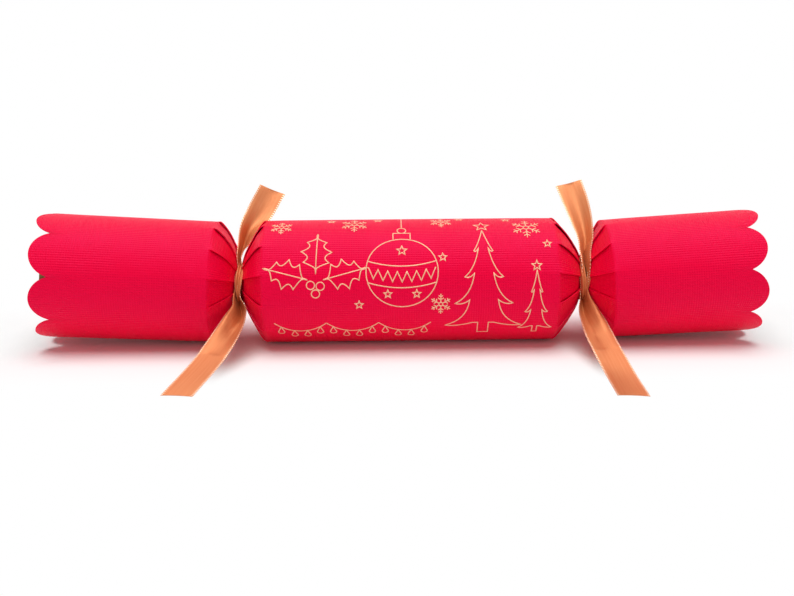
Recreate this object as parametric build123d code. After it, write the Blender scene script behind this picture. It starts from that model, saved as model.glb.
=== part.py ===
from build123d import *
import math
import os

# A christmas cracker lying on its barrel: a printed card tube tied with ribbon at two necks, with a
# snap through its length and a paper hat, a motto and a small top inside the barrel.
# Millimetres. X runs along the cracker, its front faces -Y and +Z is up.
# The origin is the middle of the narrow flat that the barrel rests on.
# Angles about the axis are measured from the front, upwards.

# Card tube
card = 0.45
barrel_diameter = 53.4
barrel_length = 126.0
rest_flat_width = 8.0
left_end_length = 74.0
right_end_length = 64.0
end_shrink = 0.4
end_lift = 3.0
scallop_count = 8
scallop_depth = 8.2

# Necks: each has a cone of panels on the barrel and one on the end, drawn in to the same waist
barrel_left_neck = 9.7
barrel_right_neck = 13.2
left_end_neck = 11.3
right_end_neck = 8.1
waist_diameter = 10.0
panel_count = 12
panel_bow = 1.6
panel_bow_limit = 0.9
slit_width = 0.3
tear_gap = 0.2

# Lap seam and liner
seam_lap = 10.0
seam_gap = 0.2
seam_margin = 2.0
liner_card = 0.5
liner_clearance = 0.1
liner_setback = 2.5

# Ribbon
ribbon_width = 12.0
ribbon_thickness = 0.4
ribbon_clearance = 0.3
loop_thickness = 1.3
loop_width = 3.0
knot_length = 13.0
knot_width = 3.4
knot_depth = 2.6
cup_start = 0.3
cup_end = 0.02
floor_clearance = 1.0
cup_steps = 4
tail_stations = 7
tail_spread = 0.8
tail_bend_in = 0.6
tail_bend_out = 1.25
left_upper_tail = dict(length=23.0, angle=100, lean=143, aside=12.4)
left_lower_tail = dict(length=53.5, angle=-28, aside=-16.2)
right_upper_tail = dict(length=19.5, angle=100, lean=135, aside=-3.7)
right_lower_tail = dict(length=56.5, angle=-30, aside=6.1)

# Snap
snap_card = 0.35
snap_clearance = 0.5
snap_overlap = 26.0
snap_patch_length = 9.0
snap_patch_margin = 1.0
snap_patch_thickness = 0.08
snap_patch_gap = 0.04
snap_past_notch = 2.0
snap_pad_length = 14.0
snap_wall_clearance = 0.3
snap_lead = 10.0
snap_bend_radius = 22.0
band_length = 18.0
band_paper = 0.15
band_clearance = 0.2

# Contents, each lying on the liner
rest_clearance = 0.2
hat_length = 64.0
hat_core_radius = 2.2
hat_paper = 1.3
hat_gap = 0.4
hat_half_turns = 7
hat_point_depth = 7.0
hat_angle = 280.0
hat_middle = -26.0
motto_length = 48.0
motto_core_radius = 2.6
motto_paper = 0.3
motto_gap = 0.45
motto_half_turns = 5
motto_clearance = 0.5
motto_middle = -22.0
top_diameter = 18.0
top_rim = 8.0
top_stem_diameter = 4.0
top_length = 30.0
top_bevel = 1.6
top_tip_diameter = 2.0
top_angle = 270.0
top_middle = 36.0

# Places that several pieces share
barrel_radius = barrel_diameter / 2
end_radius = (barrel_diameter - end_shrink) / 2
waist_radius = waist_diameter / 2
waist_length = knot_width + 2 * ribbon_clearance
axis_height = math.sqrt(barrel_radius**2 - (rest_flat_width / 2) ** 2)
left_throat = -(barrel_length / 2 + barrel_left_neck)
right_throat = barrel_length / 2 + barrel_right_neck
panel_angle = 360 / panel_count
front_line = panel_angle / 2
seam_line = front_line + 180
waist_corner = waist_radius / math.cos(math.radians(panel_angle / 2))
loop_radius = waist_radius + ribbon_clearance + loop_thickness
liner_inset = card + liner_clearance
liner_floor = axis_height - liner_inset - liner_card
snap_width = 2 * (waist_radius - card - snap_clearance)
snap_offset = snap_card / 2 + snap_patch_thickness + snap_patch_gap / 2
cut_margin = 3.0
bite = 0.1


def spoke(angle):
    """Unit direction from the axis at an angle from the front."""
    return Vector(0, -math.cos(math.radians(angle)), math.sin(math.radians(angle)))


def turned(shape, angle):
    """A shape made at the front, turned about the axis to an angle."""
    return shape.rotate(Axis.X, -angle)


def slab(length, depth, height, x=0.0, y=0.0, z=0.0):
    """A box by its middle."""
    return Pos(x, y, z) * Box(length, depth, height)


def sector(angle, spread, radius, start, end):
    """A wedge about the axis, with its middle at an angle."""
    corners = [spoke(angle + side * spread / 2) * radius for side in (-1, 0, 1)]
    face = Polygon((0, 0), *[(p.Y, p.Z) for p in corners], align=None)
    return extrude(Plane.YZ.offset(start) * face, amount=end - start)


def barrel_half(neck):
    """Sizes of one half of the barrel, from its throat to its middle."""
    return dict(neck=neck, length=barrel_length / 2, radius=barrel_radius, start=tear_gap / 2, rests=True)


def end_tube(neck, length):
    """Sizes of one end, whose tipped-up waist keeps clear of the barrel's."""
    start = tear_gap / 2 + waist_corner * math.tan(math.radians(end_lift))
    return dict(neck=neck, length=length, radius=end_radius, start=start, rests=False)


def round_tube(sleeve, start, end, inset):
    """The round of a sleeve, solid, from start to end, with its skin moved in by inset."""
    tube = extrude(Plane.YZ.offset(start) * Circle(sleeve["radius"] - inset), amount=end - start)
    if sleeve["rests"]:
        height = 4 * barrel_radius
        tube = tube & slab(4 * (end - start), height, height, z=height / 2 - axis_height + inset)
    return tube


def panel_arc(sleeve):
    """Bowed middle line of a panel, from the waist to the shoulder: x from the throat, y from the axis."""
    waist_end = Vector(waist_length / 2, waist_radius)
    shoulder = Vector(sleeve["neck"], sleeve["radius"])
    chord = shoulder - waist_end
    upright_bow = chord.length / 2 * math.tan(math.atan2(chord.X, chord.Y) / 2)
    bow = Vector(-chord.Y, chord.X).normalized() * min(panel_bow, panel_bow_limit * upright_bow)
    return ThreePointArc(waist_end, (waist_end + shoulder) * 0.5 + bow, shoulder)


def panel_silhouette(sleeve, inset):
    """Side view of two opposite panels and the tube behind them, with the throat at x = 0."""
    panel = panel_arc(sleeve)
    lead = -2 * cut_margin
    far = sleeve["neck"] + sleeve["length"] + 2 * cut_margin
    waist = Line((lead, waist_radius), panel @ 0)
    overrun = Line(panel @ 1, (panel @ 1) + (panel % 1) * (2 * cut_margin))
    rim = Polyline(overrun @ 1, (far, (overrun @ 1).Y), (far, 0), (lead, 0), waist @ 0)
    half = make_face([waist, panel, overrun, rim])
    whole = half + mirror(half, about=Plane.XZ)
    return offset(whole, amount=-inset, kind=Kind.INTERSECTION) if inset else whole


def folded_form(sleeve, start, end, inset):
    """A round sleeve whose end is folded in to the waist as flat panels, solid."""
    form = round_tube(sleeve, start, end, inset)
    cutter = extrude(panel_silhouette(sleeve, inset), amount=2 * sleeve["radius"], both=True)
    for pair in range(panel_count // 2):
        form = form & turned(cutter, front_line + (pair + 0.5) * panel_angle)
    return form


def neck_slits(sleeve):
    """The cuts between neighbouring panels, from the throat to the shoulder crease."""
    corner_drop = sleeve["radius"] * (1 - math.cos(math.radians(panel_angle / 2)))
    root = sleeve["neck"] - corner_drop
    reach = 2 * sleeve["radius"]
    cut = slab(root + cut_margin, reach, slit_width, x=(root - cut_margin) / 2, y=-reach / 2)
    return [turned(cut, front_line + k * panel_angle) for k in range(panel_count)]


def sleeve_shell(sleeve):
    """The card of a sleeve: tube, panels and slits, with the throat at x = 0 and the tube towards +X."""
    end = sleeve["neck"] + sleeve["length"]
    outer = folded_form(sleeve, sleeve["start"], end, 0)
    inner = folded_form(sleeve, -cut_margin, end + cut_margin, card)
    return outer - inner - neck_slits(sleeve)


def lap_seam(sleeve, tube, start, end):
    """Opens the tube along its seam line and closes it again with the flap glued inside."""
    radius = sleeve["radius"]
    opening = turned(slab(end - start, 2 * radius, seam_gap, x=(start + end) / 2, y=-radius), seam_line)
    core = round_tube(sleeve, start - cut_margin, end + cut_margin, 2 * card)
    flap = round_tube(sleeve, start, end, card - bite) - core
    flap = flap & sector(seam_line, math.degrees(seam_lap / radius), 2 * radius, start, end)
    return tube - opening + flap


def scalloped(sleeve, tube):
    """Cuts the mouth of an end into round lobes that meet in notches."""
    tip = sleeve["neck"] + sleeve["length"]
    root = tip - scallop_depth
    half_width = sleeve["radius"] * math.sin(math.pi / scallop_count)
    inside = root - cut_margin
    sides = Polyline((root, half_width), (inside, half_width), (inside, -half_width), (root, -half_width))
    lobe = make_face([sides, ThreePointArc((root, -half_width), (tip, 0), (root, half_width))])
    tongue = extrude(Plane.XZ.offset(sleeve["radius"] / 2) * lobe, amount=sleeve["radius"])
    pitch = 360 / scallop_count
    reach = 4 * sleeve["radius"]
    kept = slab(2 * root, reach, reach)
    return tube & (kept + [turned(tongue, front_line + (k + 0.5) * pitch) for k in range(scallop_count)])


def end_sleeve(sleeve):
    """One scalloped end, lying on the axis with its throat at x = 0."""
    shell = scalloped(sleeve, sleeve_shell(sleeve))
    flap_end = sleeve["neck"] + sleeve["length"] - scallop_depth - seam_margin
    return lap_seam(sleeve, shell, sleeve["neck"] + seam_margin, flap_end)


def lifted(shape):
    """An end's shape, tipped up at its throat."""
    return shape.rotate(Axis.Y, -end_lift)


def at_left(shape):
    """A shape made towards +X from its throat, set on the left neck and facing away from the barrel."""
    return Pos(left_throat, 0, axis_height) * mirror(shape, about=Plane.YZ)


def at_right(shape):
    """A shape made towards +X from its throat, set on the right neck."""
    return Pos(right_throat, 0, axis_height) * shape


def barrel_sleeve():
    """The printed barrel with its panels at both necks."""
    left = barrel_half(barrel_left_neck)
    right = barrel_half(barrel_right_neck)
    shell = Pos(left_throat, 0, 0) * sleeve_shell(left)
    shell = shell + Pos(right_throat, 0, 0) * mirror(sleeve_shell(right), about=Plane.YZ)
    flap_end = barrel_length / 2 - seam_margin
    return Pos(0, 0, axis_height) * lap_seam(left, shell, -flap_end, flap_end)


def barrel_liner():
    """Plain card rolled inside the barrel, open where the seam's flap lies."""
    sleeve = barrel_half(barrel_left_neck)
    end = barrel_length / 2 - liner_setback
    core = round_tube(sleeve, -end - cut_margin, end + cut_margin, liner_inset + liner_card)
    ring = round_tube(sleeve, -end, end, liner_inset) - core
    opening = math.degrees((seam_lap + 2 * seam_margin) / barrel_radius)
    gap = sector(seam_line, opening, 2 * barrel_radius, -end - cut_margin, end + cut_margin)
    return Pos(0, 0, axis_height) * (ring - gap)


def groove_room(sleeve, r):
    """Distance along the axis from the throat to the panels of a cone, at a radius."""
    if r > sleeve["radius"]:
        return sleeve["neck"] + ribbon_width
    level = Line((0, r), (2 * sleeve["neck"], r))
    return panel_arc(sleeve).intersect(level).vertices()[0].X


def bezier(points, t):
    """Place and heading on a cubic curve with four control points."""
    a, b, c, d = points
    s = 1 - t
    place = a * s**3 + b * (3 * s * s * t) + c * (3 * s * t * t) + d * t**3
    heading = (b - a) * (s * s) + (c - b) * (2 * s * t) + (d - c) * (t * t)
    return place, heading.normalized()


def cloth_section(place, heading, width, cup):
    """A cupped band of cloth across a tail, square to its line."""
    plane = Plane(origin=place, x_dir=Vector(1, 0, 0) - heading * heading.X, z_dir=heading)
    shares = [2 * k / cup_steps - 1 for k in range(cup_steps + 1)]
    under = [(share * width / 2, -cup * (1 - share**2)) for share in shares]
    over = [(x, y + ribbon_thickness) for x, y in reversed(under)]
    return plane * Polygon(*under, *over, align=None)


def ribbon_tail(barrel_side, end_side, barrel_sign, points, cup_sign):
    """One tail: gathered in the groove between the two cones, then free at the ribbon's full width."""
    sections = []
    for k in range(tail_stations):
        t = k / (tail_stations - 1)
        place, heading = bezier(points, t)
        r = math.hypot(place.Y, place.Z)
        lean_in = place.Z * math.tan(math.radians(end_lift))
        barrel_room = groove_room(barrel_side, r) - barrel_sign * place.X
        end_room = groove_room(end_side, r) + barrel_sign * place.X - lean_in
        spread = knot_width + (ribbon_width - knot_width) * min(1, t / tail_spread)
        width = min(spread, 2 * (min(barrel_room, end_room) - 2 * ribbon_clearance))
        cup = width * (cup_end + (cup_start - cup_end) * (1 - t) ** 2)
        sections.append(cloth_section(place, heading, width, cup_sign * cup))
    return loft(sections, ruled=True)


def ribbon_loop():
    """The gathered turn round the waist, which follows its panels, and the half knot over its front."""
    outside = RegularPolygon(loop_radius, panel_count, major_radius=False, rotation=front_line)
    inside = RegularPolygon(loop_radius - loop_thickness, panel_count, major_radius=False, rotation=front_line)
    turn = extrude(Plane.YZ * (outside - inside), amount=loop_width / 2, both=True)
    strand = chamfer(Rectangle(knot_width, knot_depth).vertices(), knot_depth / 4)
    knot = extrude(strand, amount=knot_length / 2, both=True)
    return turn + turned(Pos(0, -loop_radius, 0) * knot, front_line)


def upper_line(knot_top, tail):
    """Line of the tail that stands up out of the groove and leans back."""
    leave = spoke(tail["angle"]) * barrel_radius
    reach = math.sqrt(tail["length"] ** 2 - tail["aside"] ** 2)
    tip = leave + Vector(tail["aside"], 0, 0) + spoke(tail["lean"]) * reach
    return knot_top, leave * tail_bend_in, leave * tail_bend_out, tip


def lower_line(knot_foot, tail):
    """Line of the tail that comes forward out of the groove and down to the floor."""
    leave = spoke(tail["angle"]) * barrel_radius
    drop = axis_height - floor_clearance + leave.Z
    ahead = math.sqrt(tail["length"] ** 2 - tail["aside"] ** 2 - drop**2)
    tip = leave + Vector(tail["aside"], -ahead, -drop)
    return knot_foot, leave * tail_bend_in, leave * tail_bend_out, tip


def ribbon(barrel_side, end_side, barrel_sign, upper, lower):
    """Loop, half knot and both tails of one ribbon, about the middle of its neck."""
    along_knot = spoke(front_line + 90) * (knot_length / 3)
    knot_middle = spoke(front_line) * loop_radius
    rising = ribbon_tail(barrel_side, end_side, barrel_sign, upper_line(knot_middle + along_knot, upper), -1)
    falling = ribbon_tail(barrel_side, end_side, barrel_sign, lower_line(knot_middle - along_knot, lower), 1)
    return ribbon_loop() + rising + falling


def snap_seat(sleeve):
    """Distance from the axis to a flat strip that lies in the round wall of an end."""
    wall = sleeve["radius"] - card
    return math.sqrt(wall**2 - (snap_width / 2) ** 2) - snap_wall_clearance - snap_card


def snap_strip(sleeve, inner_length, offset):
    """A snap strip: straight in the barrel, then out to the front wall of its end, where it is glued."""
    tip = sleeve["neck"] + sleeve["length"] - scallop_depth + snap_past_notch
    pad = tip - snap_pad_length
    seat = snap_seat(sleeve)
    line = FilletPolyline((-bite, -offset), (snap_lead, -offset), (pad, -seat), (tip, -seat),
                          radius=snap_bend_radius)
    start = Plane(origin=line @ 0, x_dir=(0, 1, 0), z_dir=(1, 0, 0))
    outer = sweep(start * Rectangle(snap_card, snap_width), path=line)
    inner = slab(inner_length + bite, snap_card, snap_width, x=(bite - inner_length) / 2, y=-offset)
    return lifted(turned(outer, front_line)) + turned(inner, front_line)


def snap_patch(sign):
    """A rubbing patch on the inner face of one strip, in the middle of the overlap."""
    y = -sign * (snap_patch_gap + snap_patch_thickness) / 2
    patch = slab(snap_patch_length, snap_patch_thickness, snap_width - 2 * snap_patch_margin, y=y)
    return Pos(0, 0, axis_height) * turned(patch, front_line)


def snap_band():
    """The paper band wrapped round both strips where they overlap."""
    depth = 2 * (snap_offset + band_clearance) + snap_card
    height = snap_width + 2 * band_clearance
    tube = slab(band_length, depth + 2 * band_paper, height + 2 * band_paper)
    tube = tube - slab(band_length + 2 * cut_margin, depth, height)
    return Pos(0, 0, axis_height) * turned(tube, front_line)


def roll_radius(core_radius, paper, gap, half_turns):
    """Outer radius of a paper roll."""
    return core_radius + (half_turns - 1) * (paper + gap) / 2 + paper


def paper_roll(length, core_radius, paper, gap, half_turns):
    """Paper rolled in half-turn arcs about two centres, along X with its outer turn to the front."""
    step = (paper + gap) / 2

    def spiral(outset):
        arcs = []
        for k in range(half_turns):
            side = 1 if k % 2 == 0 else -1
            middle = 0 if k % 2 == 0 else step
            radius = core_radius + k * step + outset
            arcs.append(ThreePointArc((middle + side * radius, 0), (middle, side * radius), (middle - side * radius, 0)))
        return arcs

    inner = spiral(0)
    outer = spiral(paper)
    edges = [Line(inner[0] @ 0, outer[0] @ 0), Line(inner[-1] @ 1, outer[-1] @ 1)]
    plane = Plane(origin=(-length / 2, 0, 0), x_dir=(0, 0, 1), z_dir=(1, 0, 0))
    return extrude(plane * make_face(inner + outer + edges), amount=length)


def on_liner(shape, radius, angle, x):
    """A shape on its own axis, laid on the liner at an angle about the barrel."""
    return Pos(x, 0, axis_height) * turned(Pos(0, radius + rest_clearance - liner_floor, 0) * shape, angle)


def paper_hat():
    """A tissue crown, folded and rolled, with its points at one end."""
    radius = roll_radius(hat_core_radius, hat_paper, hat_gap, hat_half_turns)
    roll = paper_roll(hat_length, hat_core_radius, hat_paper, hat_gap, hat_half_turns)
    mouth = hat_length / 2 + bite
    valley = make_face(Polyline((mouth, radius), (mouth - hat_point_depth, 0), (mouth, -radius), close=True))
    across = extrude(valley, amount=2 * radius, both=True)
    return on_liner(roll - across - across.rotate(Axis.X, 90), radius, hat_angle, hat_middle)


def beside(first_radius, second_radius, clearance):
    """Angle about the barrel between two rolls that lie side by side on the liner."""
    first_out = liner_floor - rest_clearance - first_radius
    second_out = liner_floor - rest_clearance - second_radius
    apart = first_radius + second_radius + clearance
    cosine = (first_out**2 + second_out**2 - apart**2) / (2 * first_out * second_out)
    return math.degrees(math.acos(cosine))


def motto_slip():
    """The rolled slip with the motto, behind the hat."""
    sizes = (motto_core_radius, motto_paper, motto_gap, motto_half_turns)
    radius = roll_radius(*sizes)
    hat_radius = roll_radius(hat_core_radius, hat_paper, hat_gap, hat_half_turns)
    angle = hat_angle - beside(hat_radius, radius, motto_clearance)
    return on_liner(paper_roll(motto_length, *sizes), radius, angle, motto_middle)


def spinning_top():
    """A small turned top with a stem, lying on its side."""
    radius = top_diameter / 2
    half = top_length / 2
    stem = top_stem_diameter / 2
    tip = top_tip_diameter / 2
    edge = radius - top_bevel
    back = -top_rim / 2
    front = top_rim / 2
    peg = [(half, 0), (-half, 0), (-half, stem), (back, stem)]
    rim = [(back, edge), (back + top_bevel, radius), (front - top_bevel, radius), (front, edge)]
    profile = make_face(Polyline(*peg, *rim, (half, tip), close=True))
    return on_liner(revolve(profile, Axis.X), radius, top_angle, top_middle)


left_end = end_tube(left_end_neck, left_end_length)
right_end = end_tube(right_end_neck, right_end_length)
left_barrel = barrel_half(barrel_left_neck)
right_barrel = barrel_half(barrel_right_neck)
left_ribbon = ribbon(left_barrel, left_end, 1, left_upper_tail, left_lower_tail)
right_ribbon = ribbon(right_barrel, right_end, -1, right_upper_tail, right_lower_tail)
nodes = {
    "barrel_sleeve": barrel_sleeve(),
    "barrel_liner": barrel_liner(),
    "left_end_sleeve": at_left(lifted(end_sleeve(left_end))),
    "right_end_sleeve": at_right(lifted(end_sleeve(right_end))),
    "left_ribbon": Pos(left_throat, 0, axis_height) * left_ribbon,
    "right_ribbon": Pos(right_throat, 0, axis_height) * right_ribbon,
    "left_snap_strip": at_left(snap_strip(left_end, snap_overlap / 2 - left_throat, snap_offset)),
    "right_snap_strip": at_right(snap_strip(right_end, snap_overlap / 2 + right_throat, -snap_offset)),
    "snap_charge": snap_patch(1),
    "snap_grit": snap_patch(-1),
    "snap_band": snap_band(),
    "paper_hat": paper_hat(),
    "motto_slip": motto_slip(),
    "spinning_top": spinning_top(),
}

os.makedirs("parts", exist_ok=True)
for name, shape in nodes.items():
    export_step(shape, f"parts/{name}.step")
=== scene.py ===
import math

import bmesh
import bpy
import numpy as np
from mathutils import Matrix, Vector


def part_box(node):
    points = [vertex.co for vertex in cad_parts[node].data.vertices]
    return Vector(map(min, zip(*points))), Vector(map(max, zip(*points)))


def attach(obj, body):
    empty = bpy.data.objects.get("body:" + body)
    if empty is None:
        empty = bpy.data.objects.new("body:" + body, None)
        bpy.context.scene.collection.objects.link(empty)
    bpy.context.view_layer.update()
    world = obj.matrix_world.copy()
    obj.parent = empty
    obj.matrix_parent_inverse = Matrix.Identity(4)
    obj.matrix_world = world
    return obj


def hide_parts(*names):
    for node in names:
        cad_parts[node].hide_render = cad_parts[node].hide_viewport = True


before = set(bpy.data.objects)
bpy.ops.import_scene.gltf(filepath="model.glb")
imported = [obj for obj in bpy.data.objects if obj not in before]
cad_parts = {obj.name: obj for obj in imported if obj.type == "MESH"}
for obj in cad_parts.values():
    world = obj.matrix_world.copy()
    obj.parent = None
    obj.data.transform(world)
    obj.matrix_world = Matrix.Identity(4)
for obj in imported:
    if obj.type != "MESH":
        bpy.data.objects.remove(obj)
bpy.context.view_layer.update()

# Sizes are in millimetres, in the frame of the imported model. MM turns them into metres.
# Angles are in degrees. About the axis they are measured from the front, upwards.
MM = 0.001
barrel_low, barrel_high = (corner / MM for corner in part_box("barrel_sleeve"))
barrel_radius = (barrel_high.y - barrel_low.y) / 2
axis_height = barrel_high.z - barrel_radius

# Necks, which lie a little to the left of the ends of the barrel's solid
left_neck_shift = -0.7
right_neck_shift = -0.2
left_neck_x = barrel_low.x + left_neck_shift
right_neck_x = barrel_high.x + right_neck_shift
waist_radius = 5.6

# Card panels, counted from the back, down and round to the front and over the top. Each panel's first and
# second edge lies over its neighbour (up to 1), under it (down to -1) or level with it (0).
card_thickness = 0.45
panel_count = 12
panel_angle = 360 / panel_count
first_edge_lap = [0, 0, -0.4, -0.4, -0.4, -1, 1, 1, 1, 1, 1, 1]
second_edge_lap = [0, 0.4, 0.4, 0.4, 1, -1, -1, -1, -1, -1, -1, 0]
lap_rise = 0.7
lap_over = 0.3
lap_under = 0.8
lap_start = 0.3
lap_taper = 1.5
tuck_depth = 1.1
tuck_reach = 0.7

# Panels and scallops lie closer together at the front, at this share of their even spacing
front_spacing = 0.94

# From the waist to the tube: a dent in the front of the waist, hollow lower panels, a round crease, and the
# flats of the panels, which run out into the tube
dent_depth = 1.6
dent_reach = 2.2
hollow_line = -25.0
crease_round = 0.9
facet_reach = 6.0
facet_share = 0.35

# Along the tube: a low ridge at the front and the step of the glued seam at the back. The print turns in at
# the pleats, so the inside is red for some way past each crease.
ridge_height = 0.16
ridge_reach = 6.0
seam_height = 0.4
seam_reach = 8.0
print_turn_in = 8.0

# Sine of the angle below level past which the table can flatten the barrel's card
underside_sine = 0.5

# Scalloped mouths of the ends
end_lift = 3.0
scallop_count = 8
mouth_bow = 1.35
mouth_bow_line = 15.0
mouth_lean = 0.5
lobe_reach = 8.0

# The sleeves. A cone is the outline of its panels: distance from the tear line and from the axis.
left_end = dict(throat=left_neck_x, side=-1, tip=84.6, mouth_radius=27.0, drop=0.5, hollow=2.6,
                fold_line=16.5, scallop_line=12.5, scallop_depth=8.2,
                cone=[(0.1, waist_radius), (2.1, 13.0), (4.3, 18.2), (8.0, 23.3), (11.4, 26.4)])
right_end = dict(throat=right_neck_x, side=1, tip=74.0, mouth_radius=26.5, drop=0.75, hollow=1.2,
                 fold_line=20.5, scallop_line=14.5, scallop_depth=7.2,
                 cone=[(0.1, waist_radius), (2.0, 12.6), (4.6, 17.0), (7.4, 21.2), (10.6, 25.9)])
barrel_left = dict(throat=left_neck_x, side=1, fold_line=19.0, hollow=0.6,
                   cone=[(0.1, waist_radius), (2.5, 12.6), (5.6, 18.3), (9.4, 24.2), (12.0, barrel_radius)])
barrel_right = dict(throat=right_neck_x, side=-1, fold_line=19.0, hollow=1.0,
                    cone=[(0.1, waist_radius), (1.3, 10.4), (4.5, 16.2), (10.3, 23.6), (13.7, barrel_radius)])

# Inner pieces that are moved a little from their CAD places
liner_share = 0.95
strip_end_from = -150.0
strip_end_move = 1.6

# Gold lines. The limits keep the mitres of sharp corners short.
foil_width = 0.44
foil_rise = 0.05
foil_step = 0.7
hairpin_limit = 0.2
mitre_limit = 0.45

# Ribbons. Each row is a place on the ribbon's middle line, measured from the tie, then the width that is seen
# there, how far its width is tipped up and how far its middle bulges. A cut is how far the end is askew.
ribbon_width = 12.0
ribbon_thickness = 0.2
selvedge = 0.7
card_clearance = 0.35
tear_gap = 0.2
left_bow = dict(
    tie=Vector((barrel_low.x - tear_gap / 2, 0, axis_height)),
    strand=[(0.0, 4.0, 6.6, 2.2, 0, 0.5), (-0.2, -2.0, 7.8, 2.2, 0, 0.7), (-0.4, -7.8, 6.4, 2.4, 0, 0.9),
            (-0.9, -11.0, 2.4, 2.4, 0, 1.0), (-0.9, -11.6, -1.2, 2.0, 0, 0.9),
            (-0.5, -10.4, -4.6, 1.5, 0, 0.6), (-0.5, -7.5, -7.0, 1.5, 0, 0.5),
            (-0.5, -1.0, -8.5, 2.0, 0, 0.5), (-0.4, 6.0, -6.0, 2.4, 0, 0.5), (-0.2, 8.2, 0.0, 2.4, 0, 0.5),
            (0.0, 6.5, 4.4, 2.4, 0, 0.5), (0.0, 4.0, 6.6, 2.2, 0, 0.5)],
    wrap=[(0.7, -3.0, 7.8, 1.4, 0, 0.4), (0.7, -8.0, 6.4, 1.5, 0, 0.5), (0.3, -11.4, 2.2, 1.5, 0, 0.5),
          (-0.5, -12.2, -2.0, 1.4, 0, 0.5), (-0.6, -9.6, -6.2, 1.3, 0, 0.4)],
    upper=[(0.0, -4.0, 5.0, 2.2, 0, 0), (-0.9, -0.5, 10.4, 2.0, 0, 0), (-0.5, 2.0, 13.0, 3.2, -5, 0),
           (0.2, 4.0, 15.2, 4.9, -12, 0), (3.1, 9.0, 23.0, 8.9, -20, 0.3), (5.5, 13.0, 26.2, 10.9, -24, 0.4),
           (12.1, 22.0, 37.3, 12.0, -22, 0.5)],
    lower=[(-0.8, -7.0, -2.0, 2.2, 0, 0), (-1.2, -10.6, -5.2, 3.0, 0, 0), (-0.3, -13.2, -8.8, 5.6, 0, 0),
           (-0.9, -22.0, -11.6, 9.4, 0, 0.2), (-3.1, -33.0, -14.9, 11.4, 0, 0.4),
           (-6.9, -45.0, -19.1, 12.0, 0, 0.4), (-16.2, -72.8, -26.0, 12.0, 0, 0.2)],
    upper_turn=5.0, upper_cut=0.85, lower_valley=0.2, lower_cut=-1.4)
right_bow = dict(
    tie=Vector((barrel_high.x + tear_gap / 2, 0, axis_height)),
    strand=[(-0.6, 3.0, 8.0, 2.6, 0, 0.6), (-1.2, -3.0, 8.8, 2.6, 0, 0.8), (-1.6, -8.8, 6.6, 2.8, 0, 1.2),
            (-1.1, -12.0, 1.4, 2.8, 0, 1.3), (-0.8, -11.4, -3.2, 2.4, 0, 1.0),
            (-0.4, -8.0, -6.8, 1.8, 0, 0.6), (0.0, -1.0, -8.5, 2.0, 0, 0.5), (0.1, 6.0, -6.0, 2.6, 0, 0.5),
            (0.0, 8.2, 0.0, 2.8, 0, 0.5), (-0.3, 6.5, 5.0, 2.8, 0, 0.5), (-0.6, 3.0, 8.0, 2.6, 0, 0.6)],
    wrap=[(2.7, -3.0, 11.0, 1.8, 0, 0.4), (2.5, -7.4, 8.0, 1.8, 0, 0.5), (1.6, -10.4, 4.0, 1.7, 0, 0.5),
          (0.7, -11.0, -0.5, 1.6, 0, 0.5), (-0.2, -9.4, -5.0, 1.5, 0, 0.4)],
    upper=[(-0.2, -9.0, 1.0, 2.6, 0, 0), (0.0, -8.6, 7.0, 3.6, 0, 0), (0.3, -4.5, 12.2, 4.8, 4, 0),
           (0.9, -1.0, 17.7, 6.8, 8, 0.2), (0.3, 4.0, 23.7, 9.2, 12, 0.3), (-1.1, 10.0, 30.6, 11.0, 13, 0.4),
           (-3.7, 18.0, 39.6, 12.0, 11, 0.4)],
    lower=[(-0.4, -7.0, -1.5, 2.4, 0, 0), (-0.4, -10.6, -5.4, 3.8, 0, 0), (0.4, -13.5, -9.8, 7.4, 0, 0),
           (2.0, -24.0, -14.9, 11.0, 0, 0.3), (3.6, -42.0, -19.6, 12.0, 0, 0.4),
           (5.5, -58.0, -24.2, 12.0, 0, 0.3), (6.1, -78.0, -26.0, 12.0, 0, 0.2)],
    upper_turn=0.0, upper_cut=0.0, lower_valley=-0.3, lower_cut=0.8)

# Fineness of the meshes
columns_per_panel = 48
cone_stations = 28
curve_points = 80
slope_points = 5
ribbon_stations = 90
ribbon_columns = 40
arc_step = 9
weld_distance = 0.004
card_sharp_angle = 38
ribbon_sharp_angle = 60

# Corners of a grid's face as steps along its rows and columns
rows_first = [(0, 0), (1, 0), (1, 1), (0, 1)]
columns_first = [(0, 0), (0, 1), (1, 1), (1, 0)]

# Camera, from the outline in the photograph
camera_aim = Vector((-4.98, 0, 18.17))
camera_distance = 440.6
camera_azimuth = -0.534
camera_elevation = 15.0
camera_roll = -0.456
focal_pixels = 994.5
image_width = 794
sensor_width = 36.0
near_clip = 10.0

# Light
horizon_strength = 0.7
sky_strength = 0.25
horizon_top = 0.15
sky_base = 0.5
overhead_strength = 2.25
overhead_spread = 50
overhead_tilt = 4

# Table top. Its shadow fades to plain white with the distance in front, behind and past the ends.
plain_white = (1.0, 1.0, 1.0, 1.0)
floor_white = (0.97, 0.97, 0.97, 1.0)
floor_half = 6000.0
shadow_side_from = 24.0
shadow_side_to = 62.0
shadow_end_from = 290.0
shadow_end_to = 340.0


def add(owner, kind, inputs=None, **settings):
    """A node of a material or of the world, whose inputs are values or the outputs of other nodes."""
    node = owner.node_tree.nodes.new("ShaderNode" + kind)
    for name, value in settings.items():
        setattr(node, name, value)
    for key, value in (inputs or {}).items():
        if isinstance(value, bpy.types.NodeSocket):
            link(owner, value, node.inputs[key])
        else:
            node.inputs[key].default_value = value
    return node


def link(owner, source, target):
    """Joins an output to an input."""
    owner.node_tree.links.new(source, target)


def new_material(name):
    """A new material, its shader and its output, which are linked."""
    material = bpy.data.materials.new(name)
    material.use_nodes = True
    material.node_tree.nodes.clear()
    shader = add(material, "BsdfPrincipled")
    output = add(material, "OutputMaterial", {"Surface": shader.outputs["BSDF"]})
    return material, shader, output


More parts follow.
